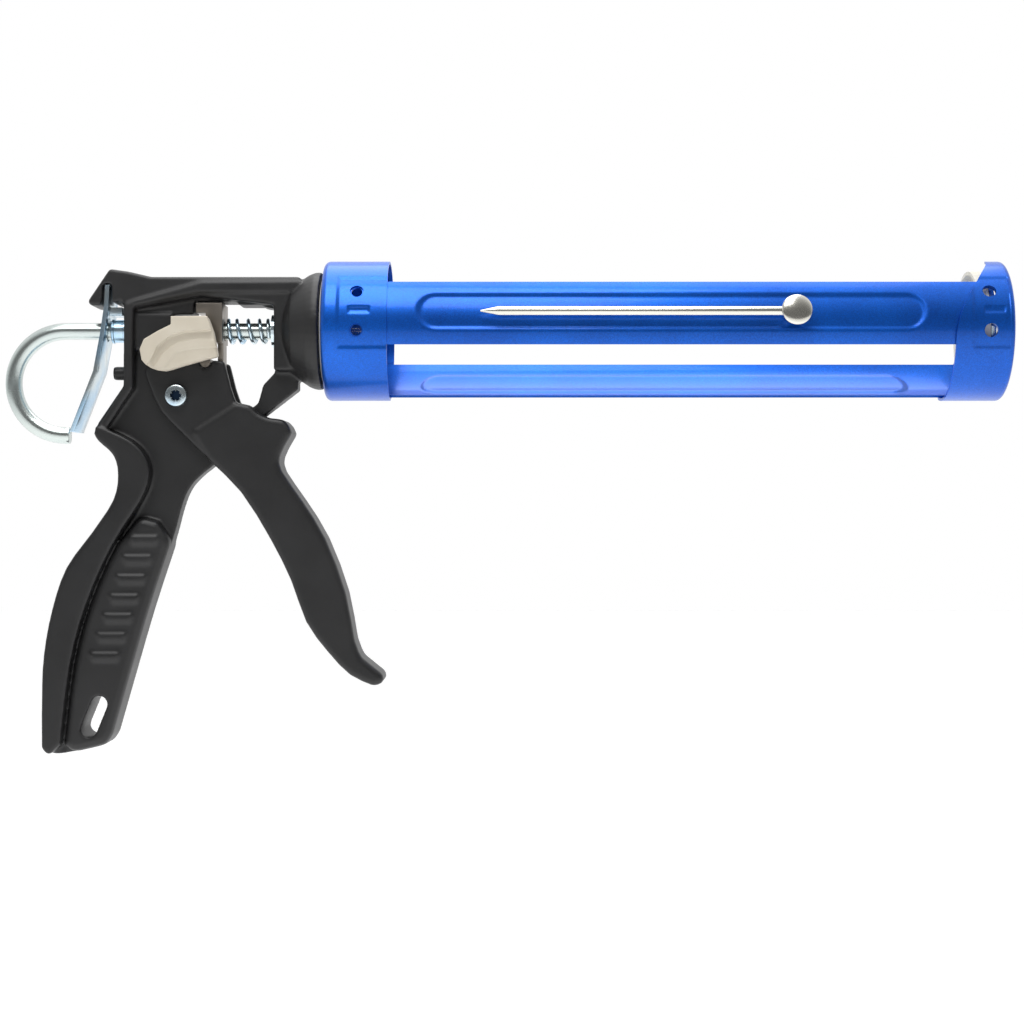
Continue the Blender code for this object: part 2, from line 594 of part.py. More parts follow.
def make_ring():
    """The C-shaped front ring: a band that narrows to its tips, and an inward lip."""
    rows = [[], [], [], []]
    steps = 44
    for step in range(steps + 1):
        share = 2 * step / steps - 1
        degrees = BOTTOM_ANGLE + RING_COVER * share
        taper = max(0.0, (abs(share) * RING_COVER - RING_TAPER) / (RING_COVER - RING_TAPER))
        taper = taper * taper * (3 - 2 * taper)
        length = RING_LENGTH + (RING_TIP_LENGTH - RING_LENGTH) * taper
        outer = angle_point(BAND_OUTER, degrees)
        lip = angle_point(RING_LIP_RADIUS, degrees)
        front = CRADLE_LENGTH
        rows[0].append((front - length, *outer))
        rows[1].append((front - length / 2, *outer))
        rows[2].append((front, *outer))
        rows[3].append((front, *lip))
    ring = shell("front_ring", rows, PART, BLUE, BAND)
    return clinch_holes(ring, CRADLE_LENGTH - 9.3, "ring_hole")


def make_cradle():
    near = make_rail("near_rail", NEAR_ANGLE)
    far = make_rail("far_rail", FAR_ANGLE)
    collar = turned("rear_collar", [(COLLAR_LENGTH, BAND_OUTER), (1.6, BAND_OUTER), (0.5, BAND_OUTER - 0.6),
                                    (0.0, BAND_OUTER - 2.2), (0.0, BAND_OUTER - 4.0), (BAND, BAND_OUTER - 4.0),
                                    (BAND, BAND_OUTER - 2.2), (1.6, BAND_INNER), (COLLAR_LENGTH, BAND_INNER)],
                    PART, BLUE, steps=56)
    clinch_holes(collar, 13.7, "collar_hole")
    plate_outer = BAND_OUTER - 4.0 - GAP
    plate = turned("cradle_end_plate", ring_profile(END_PLATE, 0.0, plate_outer, SPIGOT_RADIUS + RUN_GAP),
                   PART, BLUE, steps=40)
    clip = turned("cradle_circlip", ring_profile(3.3, 2.5, SPIGOT_RADIUS + 2.0, SPIGOT_RADIUS - 0.9),
                  PART, STEEL, steps=36)
    mouth = outline_solid("clip_mouth", [(0, -20), (6, -20), (6, -8), (0, -8)], -2.0, 2.0, GUIDES)
    combine(clip, mouth, "DIFFERENCE")
    washer = turned("friction_washer", ring_profile(-GAP, FLANGE_FRONT + GAP, 20.5, SPIGOT_RADIUS + RUN_GAP),
                    PART, SEAL, steps=36)
    bush = turned("front_bush", ring_profile(5.0, -10.0, BUSH_RADIUS, ROD_RADIUS + 0.3), PART, BRONZE, steps=28)
    return near, far, collar, plate, clip, washer, bush, make_ring()


def make_needle():
    """The swinging puncture needle and the rivet that it turns on."""
    y, z = angle_point(1.0, NEEDLE_ANGLE)
    outward = Vector((0.0, y, z))
    level = outward * NEEDLE_LIFT
    pivot = Vector((NEEDLE_PIVOT_X, 0, 0)) + level
    tip = pivot - Vector((NEEDLE_LENGTH, 0, 0))
    shank_end = tip + Vector((7.0, 0, 0))
    eye = cylinder("puncture_needle", pivot - outward * NEEDLE_RADIUS, pivot + outward * NEEDLE_RADIUS, NEEDLE_EYE_RADIUS,
                   PART, NICKEL, sides=24)
    shank = cylinder("needle_shank", pivot - Vector((NEEDLE_EYE_RADIUS - 1.2, 0, 0)), shank_end, NEEDLE_RADIUS,
                     GUIDES, sides=12)
    point = cylinder("needle_point", shank_end + Vector((0.2, 0, 0)), tip, NEEDLE_RADIUS, GUIDES, sides=12,
                     far_radius=0.25)
    combine(eye, shank, "UNION")
    combine(eye, point, "UNION")
    hole = cylinder("needle_hole", pivot - outward * 6, pivot + outward * 6, 2.1 + RUN_GAP, GUIDES, sides=20)
    combine(eye, hole, "DIFFERENCE")
    under = RAIL_INNER - GAP - 0.6
    base = NEEDLE_LIFT + NEEDLE_RADIUS + GAP
    profile = [(base + 1.5, 0.0), (base + 1.1, 3.4), (base, 5.8), (base, 2.1), (RAIL_INNER - GAP, 2.1),
               (RAIL_INNER - GAP, 3.4), (under, 3.0), (under, 0.0)]
    rivet = turned("needle_rivet", profile, PART, NICKEL, steps=24)
    rivet.rotation_euler = outward.to_track_quat("Z", "X").to_euler()
    rivet.location = (NEEDLE_PIVOT_X * MM, 0.0, 0.0)
    return eye, rivet, pivot, outward


def rivet_hole(rail):
    """Cut the needle rivet's hole in the near rail."""
    y, z = angle_point(1.0, NEEDLE_ANGLE)
    inner = (NEEDLE_PIVOT_X, y * (RAIL_INNER - 4), z * (RAIL_INNER - 4))
    outer = (NEEDLE_PIVOT_X, y * (RAIL_OUTER + 4), z * (RAIL_OUTER + 4))
    return combine(rail, cylinder("rivet_hole", inner, outer, 2.1 + GAP, GUIDES, sides=20), "DIFFERENCE")


# ---------------------------------------------------------------- assembly

def joint_empty(name, place, root):
    """An empty on a joint's axis; the pieces of that body hang from it."""
    made = bpy.data.objects.new(name, None)
    made.empty_display_size = 0.01
    PART.objects.link(made)
    made.parent = root
    made.location = Vector(place) * MM
    return made


def hang(pieces, empty):
    for piece in pieces:
        piece.parent = empty
        piece.location = piece.location - empty.location
        if piece.type == "MESH":
            finish_mesh(piece)


def build():
    body = make_body()
    trigger = make_trigger()
    pivot = make_pivot()
    drive_plate, spring_seat, drive_spring = make_drive()
    release_plate, release_spring = make_release()
    lever, lever_pin = make_selector()
    rod = make_rod()
    near, far, collar, end_plate, clip, washer, bush, ring = make_cradle()
    needle, rivet, needle_pivot, outward = make_needle()
    rivet_hole(near)

    root = bpy.data.objects.new("caulking_gun", None)
    PART.objects.link(root)
    root.location = -Vector(GRIP_POINT) * MM
    for cutter in GUIDES.objects:
        cutter.parent = root
    hang([body, spring_seat, drive_spring, lever_pin, clip, washer, bush] + pivot + [release_spring],
         joint_empty("frame_axis", (0, 0, 0), root))
    hang(trigger, joint_empty("trigger_axis", (PIVOT[0], 0, PIVOT[1]), root))
    hang([drive_plate], joint_empty("drive_axis", (DRIVE_X, 0, 0), root))
    hang([release_plate], joint_empty("release_axis", (RELEASE_TOP[0], 0, RELEASE_TOP[1]), root))
    hang([lever], joint_empty("selector_axis", (SELECTOR_PIN[0], 0, SELECTOR_PIN[1]), root))
    hang(rod, joint_empty("rod_axis", (PISTON_X, 0, 0), root))
    hang([near, far, collar, end_plate, ring, rivet], joint_empty("cradle_axis", (1.0, 0, 0), root))
    hang([needle], joint_empty("needle_axis", needle_pivot, root))


build()
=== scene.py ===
"""Finished look of a cartridge caulking gun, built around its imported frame.

Each sub-assembly is a class that holds its sizes in millimetres as dataclass fields, builds its
meshes from primitives and edit-mode operators, and dresses them in the finishes defined first.
"""

import json
import logging
import math
from dataclasses import dataclass, field
from enum import Enum
from typing import Callable

import bpy
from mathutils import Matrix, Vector

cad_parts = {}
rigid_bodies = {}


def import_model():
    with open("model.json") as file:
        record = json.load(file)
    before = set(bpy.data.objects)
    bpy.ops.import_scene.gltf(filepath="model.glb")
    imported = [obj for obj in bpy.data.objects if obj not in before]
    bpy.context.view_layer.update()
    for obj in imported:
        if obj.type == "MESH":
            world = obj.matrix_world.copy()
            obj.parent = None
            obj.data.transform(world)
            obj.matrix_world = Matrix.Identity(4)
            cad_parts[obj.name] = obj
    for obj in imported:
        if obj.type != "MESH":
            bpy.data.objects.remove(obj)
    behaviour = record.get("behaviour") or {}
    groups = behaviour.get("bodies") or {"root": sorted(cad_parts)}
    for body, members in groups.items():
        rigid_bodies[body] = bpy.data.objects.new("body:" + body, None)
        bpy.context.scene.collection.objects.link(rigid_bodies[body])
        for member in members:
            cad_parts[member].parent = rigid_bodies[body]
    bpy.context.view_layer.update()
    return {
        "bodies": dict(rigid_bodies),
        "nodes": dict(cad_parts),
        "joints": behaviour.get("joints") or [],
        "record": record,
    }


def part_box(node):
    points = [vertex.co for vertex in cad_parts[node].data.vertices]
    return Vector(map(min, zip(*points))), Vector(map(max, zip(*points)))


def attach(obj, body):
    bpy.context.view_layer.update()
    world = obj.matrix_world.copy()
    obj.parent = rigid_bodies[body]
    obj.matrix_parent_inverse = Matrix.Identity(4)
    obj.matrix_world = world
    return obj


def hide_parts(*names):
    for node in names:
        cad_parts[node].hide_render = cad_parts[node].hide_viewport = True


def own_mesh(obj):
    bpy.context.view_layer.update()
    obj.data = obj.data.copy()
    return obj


LOG = logging.getLogger("caulking_gun")
MM = 0.001
FLAKE_MM = 0.28  # coarser than real paint flake, so that it shows
Point = tuple[float, float]


# ---------------------------------------------------------------- finishes

def linear(hex_colour: str) -> tuple[float, float, float, float]:
    """Turn an sRGB hex colour into linear RGBA.

    Args:
        hex_colour: Six hexadecimal digits.

    Returns:
        Linear red, green, blue and an alpha of 1.
    """
    parts = [int(hex_colour[i:i + 2], 16) / 255 for i in (0, 2, 4)]
    return (*[c / 12.92 if c <= 0.04045 else ((c + 0.055) / 1.055) ** 2.4 for c in parts], 1.0)


def add_node(material: bpy.types.ID, kind: str, settings: dict | None = None,
             links: dict | None = None) -> bpy.types.Node:
    """Add one shader node with its settings and its input links.

    Args:
        material: The material or world whose tree gets the node.
        kind: The node's type name.
        settings: Attribute or input values by name.
        links: Output sockets by the name of the input that they feed.

    Returns:
        The new node.
    """
    node = material.node_tree.nodes.new(kind)
    for name, value in (settings or {}).items():
        if isinstance(name, int) or name in node.inputs:
            node.inputs[name].default_value = value
        else:
            setattr(node, name, value)
    for name, socket in (links or {}).items():
        material.node_tree.links.new(socket, node.inputs[name])
    return node


@dataclass(frozen=True)
class Finish:
    """A surface: its colours, its gloss and the scale of its texture; one of them is painted shade in a
    screw's socket.

    The grain is a fine bump, the mottle is a slow change of colour and gloss over the piece.
    """

    name: str
    slot: str
    colour: str
    mottle_colour: str
    roughness: float
    metallic: float = 0.0
    ior: float = 1.5
    coat: float = 0.0
    grain_mm: float = 0.35
    grain_height: float = 0.02
    mottle_mm: float = 18.0
    gloss_change: float = 0.08
    stretch: tuple[float, float, float] = (1.0, 1.0, 1.0)
    flakes: bool = False

    def make(self) -> bpy.types.Material:
        """Build the node material, or return the one already built."""
        if self.name in bpy.data.materials:
            return bpy.data.materials[self.name]
        made = bpy.data.materials.new(self.name)
        made.use_nodes = True
        shader = made.node_tree.nodes["Principled BSDF"]
        shader.inputs["Metallic"].default_value = self.metallic
        shader.inputs["IOR"].default_value = self.ior
        shader.inputs["Coat Weight"].default_value = self.coat
        shader.inputs["Coat Roughness"].default_value = 0.12
        place = add_node(made, "ShaderNodeTexCoord")
        scaled = add_node(made, "ShaderNodeMapping", {"Scale": self.stretch},
                          {"Vector": place.outputs["Object"]})
        mottle = add_node(made, "ShaderNodeTexNoise", {"Scale": 1 / (self.mottle_mm * MM), "Detail": 4.0},
                          {"Vector": scaled.outputs["Vector"]})
        colour = add_node(made, "ShaderNodeValToRGB", links={"Fac": mottle.outputs["Fac"]})
        colour.color_ramp.elements[0].position = 0.35
        colour.color_ramp.elements[1].position = 0.65
        colour.color_ramp.elements[0].color = linear(self.colour)
        colour.color_ramp.elements[1].color = linear(self.mottle_colour)
        base = colour.outputs["Color"]
        grain = add_node(made, "ShaderNodeTexNoise", {"Scale": 1 / (self.grain_mm * MM), "Detail": 2.0},
                         {"Vector": scaled.outputs["Vector"]})
        if self.flakes:
            base = self.add_flakes(made, place.outputs["Object"], base)
        made.node_tree.links.new(base, shader.inputs["Base Color"])
        gloss = add_node(made, "ShaderNodeMapRange",
                         {"To Min": self.roughness - self.gloss_change,
                          "To Max": self.roughness + self.gloss_change},
                         {"Value": mottle.outputs["Fac"]})
        made.node_tree.links.new(gloss.outputs["Result"], shader.inputs["Roughness"])
        bump = add_node(made, "ShaderNodeBump", {"Strength": 0.5, "Distance": self.grain_height * MM},
                        {"Height": grain.outputs["Fac"]})
        made.node_tree.links.new(bump.outputs["Normal"], shader.inputs["Normal"])
        return made

    def add_flakes(self, made: bpy.types.Material, place: bpy.types.NodeSocket,
                   base: bpy.types.NodeSocket) -> bpy.types.NodeSocket:
        """Mix small bright and dark metal flakes into a paint's colour.

        Args:
            made: The material.
            place: The object coordinates.
            base: The paint's own colour.

        Returns:
            The socket with the mixed colour.
        """
        cells = add_node(made, "ShaderNodeTexVoronoi", {"Scale": 1 / (FLAKE_MM * MM)}, {"Vector": place})
        spread = add_node(made, "ShaderNodeSeparateColor", links={"Color": cells.outputs["Color"]})
        bright = add_node(made, "ShaderNodeMapRange", {"To Min": 0.82, "To Max": 1.22},
                          {"Value": spread.outputs["Red"]})
        lit = add_node(made, "ShaderNodeVectorMath", {"operation": "SCALE"},
                       {0: base, "Scale": bright.outputs["Result"]})
        return lit.outputs["Vector"]


# Glass-filled nylon, moulded with a spark-eroded texture: satin black with a soft, slightly grey sheen
NYLON = Finish("glass_filled_nylon", "black_polyamide", "141415", "1B1B1C", 0.46, grain_mm=0.28,
               grain_height=0.035)
# Metallic stove enamel over pressed steel: deep blue with a bright flake under a clear coat
ENAMEL = Finish("metallic_blue_enamel", "blue_paint", "004FB4", "005CC8", 0.36, metallic=0.72, coat=0.3,
                grain_mm=1.6, grain_height=0.012, mottle_mm=45.0, gloss_change=0.05, flakes=True)
# Bright zinc with blue passivation: silver with drifting blue tints
ZINC = Finish("blue_passivated_zinc", "zinc", "D9E2E3", "A9CBE4", 0.24, metallic=1.0, grain_mm=0.6,
              grain_height=0.01, mottle_mm=14.0)
# Drawn rod, bright plated: neutral silver with faint marks along the draw
DRAWN = Finish("drawn_plated_rod", "zinc", "CDD4D0", "BFC9C8", 0.26, metallic=1.0, grain_mm=0.3,
               grain_height=0.012, stretch=(0.08, 1.0, 1.0))
# Nickel plate on the needle and its rivet: warm white metal
NICKEL = Finish("bright_nickel", "nickel", "E2E0D8", "CFCDC4", 0.2, metallic=1.0, grain_mm=0.5,
                grain_height=0.008, stretch=(0.2, 1.0, 1.0))
# Powder coat over a zinc die casting: warm pale grey with an orange-peel surface
POWDER = Finish("warm_grey_powder_coat", "cast_lever", "CCC4B4", "C2B9A8", 0.5, grain_mm=0.7,
                grain_height=0.05)
# Painted shade in the socket of a zinc plated screw: dark blue-grey zinc standing in for the socket's shadow
SOCKET_SHADE = Finish("painted_socket_shade", "zinc", "2C3E55", "1E2C3E", 0.4, metallic=1.0)
# Hardened steel left oiled: brown grey with grinding marks
HARD = Finish("oiled_hard_steel", "hard_steel", "9A938A", "857E76", 0.36, metallic=1.0,
              stretch=(1.0, 1.0, 0.12))
# Sintered bronze: porous dull gold
BRONZE = Finish("sintered_bronze", "bronze", "A3793F", "8C6633", 0.5, metallic=1.0, grain_mm=0.4,
                grain_height=0.05)
# Off-white rubber of the piston seal and the friction washer: dull and slightly warm
SEAL = Finish("off_white_rubber", "seal", "D9D6CC", "CBC8BC", 0.65, grain_mm=0.5, grain_height=0.03)


# ---------------------------------------------------------------- modelling by operators

class Cut(Enum):
    """How one solid changes another."""

    AWAY = "DIFFERENCE"
    JOIN = "UNION"


def deselect_all() -> None:
    """Leave nothing selected and nothing active."""
    if bpy.context.object and bpy.context.object.mode != "OBJECT":
        bpy.ops.object.mode_set(mode="OBJECT")
    bpy.ops.object.select_all(action="DESELECT")


def activate(target: bpy.types.Object) -> None:
    """Select one object alone and make it active."""
    deselect_all()
    target.select_set(True)
    bpy.context.view_layer.objects.active = target


def settle(target: bpy.types.Object) -> bpy.types.Object:
    """Put an object's place into its mesh, so that the object sits at the origin."""
    activate(target)
    bpy.ops.object.transform_apply(location=True, rotation=True, scale=True)
    return target


def apply_all(target: bpy.types.Object) -> bpy.types.Object:
    """Apply every modifier of an object in order."""
    activate(target)
    for step in list(target.modifiers):
        bpy.ops.object.modifier_apply(modifier=step.name)
    return target


def tidy_mesh(target: bpy.types.Object, merge_mm: float = 0.01) -> bpy.types.Object:
    """Merge doubles and turn all faces outwards."""
    activate(target)
    bpy.ops.object.mode_set(mode="EDIT")
    bpy.ops.mesh.select_all(action="SELECT")
    bpy.ops.mesh.remove_doubles(threshold=merge_mm * MM)
    bpy.ops.mesh.dissolve_degenerate(threshold=merge_mm * MM)
    bpy.ops.mesh.normals_make_consistent(inside=False)
    bpy.ops.object.mode_set(mode="OBJECT")
    return target


def soften(target: bpy.types.Object, degrees: float = 40.0) -> bpy.types.Object:
    """Shade a piece smooth, with crisp edges where faces turn further than the angle."""
    activate(target)
    bpy.ops.object.shade_smooth_by_angle(angle=math.radians(degrees))
    return target


def bevelled(target: bpy.types.Object, width: float, segments: int = 3,
             degrees: float = 40.0) -> bpy.types.Object:
    """Round a piece's crisp edges by a width in millimetres."""
    edge = target.modifiers.new("edge", "BEVEL")
    edge.width = width * MM
    edge.segments = segments
    edge.limit_method = "ANGLE"
    edge.angle_limit = math.radians(degrees)
    edge.harden_normals = False
    return apply_all(target)


def joined(target: bpy.types.Object, other: bpy.types.Object, cut: Cut) -> bpy.types.Object:
    """Cut or join with another solid, which is used up."""
    step = target.modifiers.new("cut", "BOOLEAN")
    step.operation = cut.value
    step.object = other
    step.solver = "MANIFOLD"
    apply_all(target)
    bpy.data.objects.remove(other, do_unlink=True)
    return target


@dataclass(frozen=True)
class Layout:
    """The frame's nodes, and where the barrel axis and the collar's rear face lie, in metres."""

    nodes: dict[str, bpy.types.Object]
    rear: float
    axis: float

    def at(self, x: float, y: float, z: float) -> Vector:
        """A place in millimetres from the barrel axis, in metres of the frame."""
        return Vector((self.rear + x * MM, y * MM, self.axis + z * MM))

    def rivet_x(self) -> float:
        """The needle rivet's distance from the collar's rear face, in millimetres."""
        low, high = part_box("needle_rivet")
        return ((low[0] + high[0]) / 2 - self.rear) / MM

    @staticmethod
    def read(frame: dict) -> "Layout":
        """Take the layout from the collar's box."""
        low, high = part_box("rear_collar")
        return Layout(nodes=frame["nodes"], rear=low[0], axis=(low[2] + high[2]) / 2)


def outline_solid(name: str, points: list[Point], low: float, high: float,
                  layout: Layout) -> bpy.types.Object:
    """Extrude an outline of the side plane across the gun.

    Args:
        name: The new object's name.
        points: (x, z) in millimetres from the barrel axis.
        low: The near face's y.
        high: The far face's y.
        layout: The frame's layout.

    Returns:
        A closed solid.
    """
    deselect_all()
    bpy.ops.mesh.primitive_circle_add(vertices=len(points), fill_type="NGON", radius=1.0)
    made = bpy.context.object
    made.name = name
    for vertex, (x, z) in zip(made.data.vertices, points):
        vertex.co = layout.at(x, low, z)
    bpy.ops.object.mode_set(mode="EDIT")
    bpy.ops.mesh.select_all(action="SELECT")
    bpy.ops.mesh.extrude_region_move(TRANSFORM_OT_translate={"value": (0.0, (high - low) * MM, 0.0)})
    bpy.ops.object.mode_set(mode="OBJECT")
    return tidy_mesh(made)


def turned(name: str, profile: list[Point], start: Vector, along: Vector,
           steps: int = 64) -> bpy.types.Object:
    """Spin a closed profile round an axis.

    Args:
        name: The new object's name.
        profile: (distance along the axis, radius) in millimetres, in order round the section.
        start: A point on the axis, in metres.
        along: The axis direction.
        steps: Facets round the axis.

    Returns:
        A closed solid with its place in its mesh.
    """
    deselect_all()
    bpy.ops.mesh.primitive_circle_add(vertices=len(profile), fill_type="NOTHING", radius=1.0)
    made = bpy.context.object
    made.name = name
    for vertex, (height, radius) in zip(made.data.vertices, profile):
        vertex.co = Vector((radius * MM, 0.0, height * MM))
    bpy.ops.object.mode_set(mode="EDIT")
    bpy.ops.mesh.select_all(action="SELECT")
    bpy.ops.mesh.spin(steps=steps, angle=math.tau, center=(0, 0, 0), axis=(0, 0, 1))
    bpy.ops.object.mode_set(mode="OBJECT")
    tidy_mesh(made, 0.002)
    made.rotation_euler = along.to_track_quat("Z", "X").to_euler()
    made.location = start
    return settle(made)


def bar(name: str, start: Vector, end: Vector, radius: float, sides: int = 32) -> bpy.types.Object:
    """A round cutter or pin between two places in metres; the radius is in millimetres."""
    deselect_all()
    bpy.ops.mesh.primitive_cylinder_add(vertices=sides, radius=radius * MM, depth=(end - start).length,
                                        location=(start + end) / 2,
                                        rotation=(end - start).to_track_quat("Z", "X").to_euler())
    made = bpy.context.object
    made.name = name
    return settle(made)


def sheet(name: str, across: int, along: int, place: Callable[[float, float], Vector], thickness: float,
          ring: bool = False) -> bpy.types.Object:
    """Shape a grid into a curved sheet and give it its thickness inwards.

    Args:
        name: The new object's name.
        across: Grid cells in the first direction.
        along: Grid cells in the second direction.
        place: Gives the outer surface's point for two shares from 0 to 1.
        thickness: Sheet thickness in millimetres.
        ring: True where the first direction closes on itself.

    Returns:
        A closed solid sheet.
    """
    deselect_all()
    bpy.ops.mesh.primitive_grid_add(x_subdivisions=across, y_subdivisions=along, size=2.0)
    made = bpy.context.object
    made.name = name
    for vertex in made.data.vertices:
        vertex.co = place((vertex.co.x + 1) / 2, (vertex.co.y + 1) / 2)
    if ring:
        activate(made)
        bpy.ops.object.mode_set(mode="EDIT")
        bpy.ops.mesh.select_all(action="SELECT")
        bpy.ops.mesh.remove_doubles(threshold=0.001 * MM)
        bpy.ops.object.mode_set(mode="OBJECT")
    wall = made.modifiers.new("wall", "SOLIDIFY")
    wall.thickness = thickness * MM
    wall.offset = -1.0
    wall.use_even_offset = True
    apply_all(made)
    return tidy_mesh(made, 0.001)


def wire(name: str, points: list[Vector], radius: float, resolution: int = 5) -> bpy.types.Object:
    """A round wire through points in metres, as a closed mesh; the radius is in millimetres."""
    curve = bpy.data.curves.new(name, "CURVE")
    curve.dimensions = "3D"
    curve.bevel_depth = radius * MM
    curve.bevel_resolution = resolution
    curve.use_fill_caps = True
    line = curve.splines.new("POLY")
    line.points.add(len(points) - 1)
    for point, co in zip(line.points, points):
        point.co = (*co, 1.0)
    made = bpy.data.objects.new(name, curve)
    bpy.context.scene.collection.objects.link(made)
    activate(made)
    bpy.ops.object.convert(target="MESH")
    return tidy_mesh(bpy.context.object, 0.001)


def copy_node(layout: Layout, node: str, name: str) -> bpy.types.Object:
    """A merged copy of a frame node's solid, free to be reshaped."""
    source = layout.nodes[node]
    made = bpy.data.objects.new(name, source.data.copy())
    bpy.context.scene.collection.objects.link(made)
    return tidy_mesh(made, 0.002)


def cast(target: bpy.types.Object, voxel: float, rounds: int, keep: float = 1.0) -> bpy.types.Object:
    """Give a sharp solid the soft edges and fillets of a moulding.

    Args:
        target: The solid.
        voxel: Cell size in millimetres.
        rounds: Smoothing passes.
        keep: Share of the triangles to keep.

    Returns:
        The same object.
    """
    cells = target.modifiers.new("cells", "REMESH")
    cells.mode = "VOXEL"
    cells.voxel_size = voxel * MM
    blend = target.modifiers.new("blend", "SMOOTH")
    blend.factor = 0.5
    blend.iterations = rounds
    if keep < 1.0:
        fewer = target.modifiers.new("fewer", "DECIMATE")
        fewer.ratio = keep
    apply_all(target)
    activate(target)
    bpy.ops.object.shade_smooth()
    return target


def dress(piece: bpy.types.Object, finish: Finish, body: str, *nodes: str) -> None:
    """Give a finished piece its material, its body and the frame nodes that it stands for."""
    piece.data.materials.clear()
    piece.data.materials.append(finish.make())
    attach(piece, body)
    if nodes:
        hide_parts(*nodes)
    LOG.info("%s rides on %s, %d faces", piece.name, body, len(piece.data.polygons))


def polar(radius: float, degrees: float) -> Point:
    """Y and Z round the barrel, from the near side upwards."""
    turn = math.radians(degrees)
    return (-radius * math.cos(turn), radius * math.sin(turn))


def ease(value: float) -> float:
    """A smooth step from 0 to 1."""
    value = min(1.0, max(0.0, value))
    return value * value * (3 - 2 * value)


# ---------------------------------------------------------------- sub-assemblies

@dataclass
class BodyMoulding:
    """The black body and grip in one moulding, with its raised band and its finger ribs."""

    layout: Layout
    rib_count: int = 7
    first_rib: Point = (-69.4, -81.2)
    rib_step: Point = (-2.5, -7.5)
    rib_size: Point = (11.0, 3.0)
    panel_half: float = 10.0
    frame_half: float = 10.0

    def band(self) -> list[Point]:
        """Outline of the raised rib that runs down the rear wall and along the top."""
        return [(-87.0, -38.6), (-77.0, -22.0), (-76.9, 9.6), (-72.6, 11.2), (-47.6, 18.2), (-9.0, 18.6),
                (-9.0, 14.2), (-48.4, 14.2), (-73.2, 9.0), (-73.4, -22.7), (-83.6, -38.2)]

    def build(self) -> None:
        """Copy the frame's solid, add the ribs, round everything and dress it."""
        body = copy_node(self.layout, "frame_casting", "body_moulding")
        for side in (-1, 1):
            low, high = sorted((side * (self.frame_half - 2.0), side * (self.frame_half + 1.1)))
            joined(body, outline_solid("band", self.band(), low, high, self.layout), Cut.JOIN)
            for index in range(self.rib_count):
                joined(body, self.rib(index, side), Cut.JOIN)
        dress(cast(body, 0.62, 4, 0.45), NYLON, "frame", "frame_casting")

    def rib(self, index: int, side: int) -> bpy.types.Object:
        """One raised finger rib on the grip's panel."""
        x = self.first_rib[0] + index * self.rib_step[0]
        z = self.first_rib[1] + index * self.rib_step[1]
        half_x = self.rib_size[0] / 2
        half_z = self.rib_size[1] / 2
        points = [(x - half_x + 1.2, z - half_z), (x + half_x - 0.6, z - half_z), (x + half_x, z + half_z),
                  (x - half_x, z + half_z)]
        low, high = sorted((side * (self.panel_half - 1.5), side * (self.panel_half + 0.9)))
        return outline_solid("rib", points, low, high, self.layout)


@dataclass
class TriggerSet:
    """The trigger, and its pivot screw and nut."""

    layout: Layout
    pivot: Point = (-56.7, -25.6)
    cheek_half: float = 9.6
    head_radius: float = 4.3
    head_height: float = 2.4
    gap: float = 0.3
    shank_radius: float = 2.6
    shank_length: float = 22.6
    socket_radius: float = 2.1
    socket_depth: float = 1.5

    def build(self) -> None:
        """Build and dress the trigger and its screw."""
        trigger = copy_node(self.layout, "trigger", "trigger_lever")
        dress(cast(trigger, 0.62, 4, 0.5), NYLON, "trigger", "trigger")
        face = -self.cheek_half - self.gap
        start = self.layout.at(self.pivot[0], face, self.pivot[1])
        outward = Vector((0, -1, 0))
        top = self.head_height
        radius = self.head_radius
        shank = self.shank_radius
        profile = [(top, 0.0), (top, radius - 0.8), (top - 0.25, radius - 0.25), (top - 0.8, radius),
                   (0.0, radius), (0.0, shank), (-self.shank_length, shank), (-self.shank_length, 0.0)]
        screw = turned("pivot_screw_detailed", profile, start, outward, 48)
        for turn in range(3):
            joined(screw, self.socket(turn * 60.0), Cut.AWAY)
        dress(soften(screw, 35), ZINC, "frame", "pivot_screw")
        # painted shade: the screw's socket gets a darker zinc
        self.paint_socket_shade(screw, start)
        nut = bevelled(copy_node(self.layout, "pivot_nut", "pivot_nut_detailed"), 0.35, 2)
        dress(soften(nut, 35), ZINC, "frame", "pivot_nut")

    def paint_socket_shade(self, screw: bpy.types.Object, start: Vector) -> None:
        """Paint shade on the socket's walls and floor as a second, darker zinc material."""
        screw.data.materials.append(SOCKET_SHADE.make())
        head = start.y - self.head_height * MM
        for face in screw.data.polygons:
            away = math.hypot(face.center.x - start.x, face.center.z - start.z)
            if away < (self.socket_radius + 0.05) * MM and face.center.y > head + 0.1 * MM:
                face.material_index = int(face.center.y < start.y)

    def socket(self, degrees: float) -> bpy.types.Object:
        """One third of the six-lobed socket."""
        deselect_all()
        depth = self.socket_depth
        mouth = -self.cheek_half - self.gap - self.head_height
        place = self.layout.at(self.pivot[0], mouth + depth / 2 - 0.3, self.pivot[1])
        bpy.ops.mesh.primitive_cube_add(size=1.0, location=place, rotation=(0, math.radians(degrees), 0))
        made = bpy.context.object
        made.scale = (2 * self.socket_radius * MM, (depth + 0.6) * MM, 1.5 * MM)
        return settle(made)


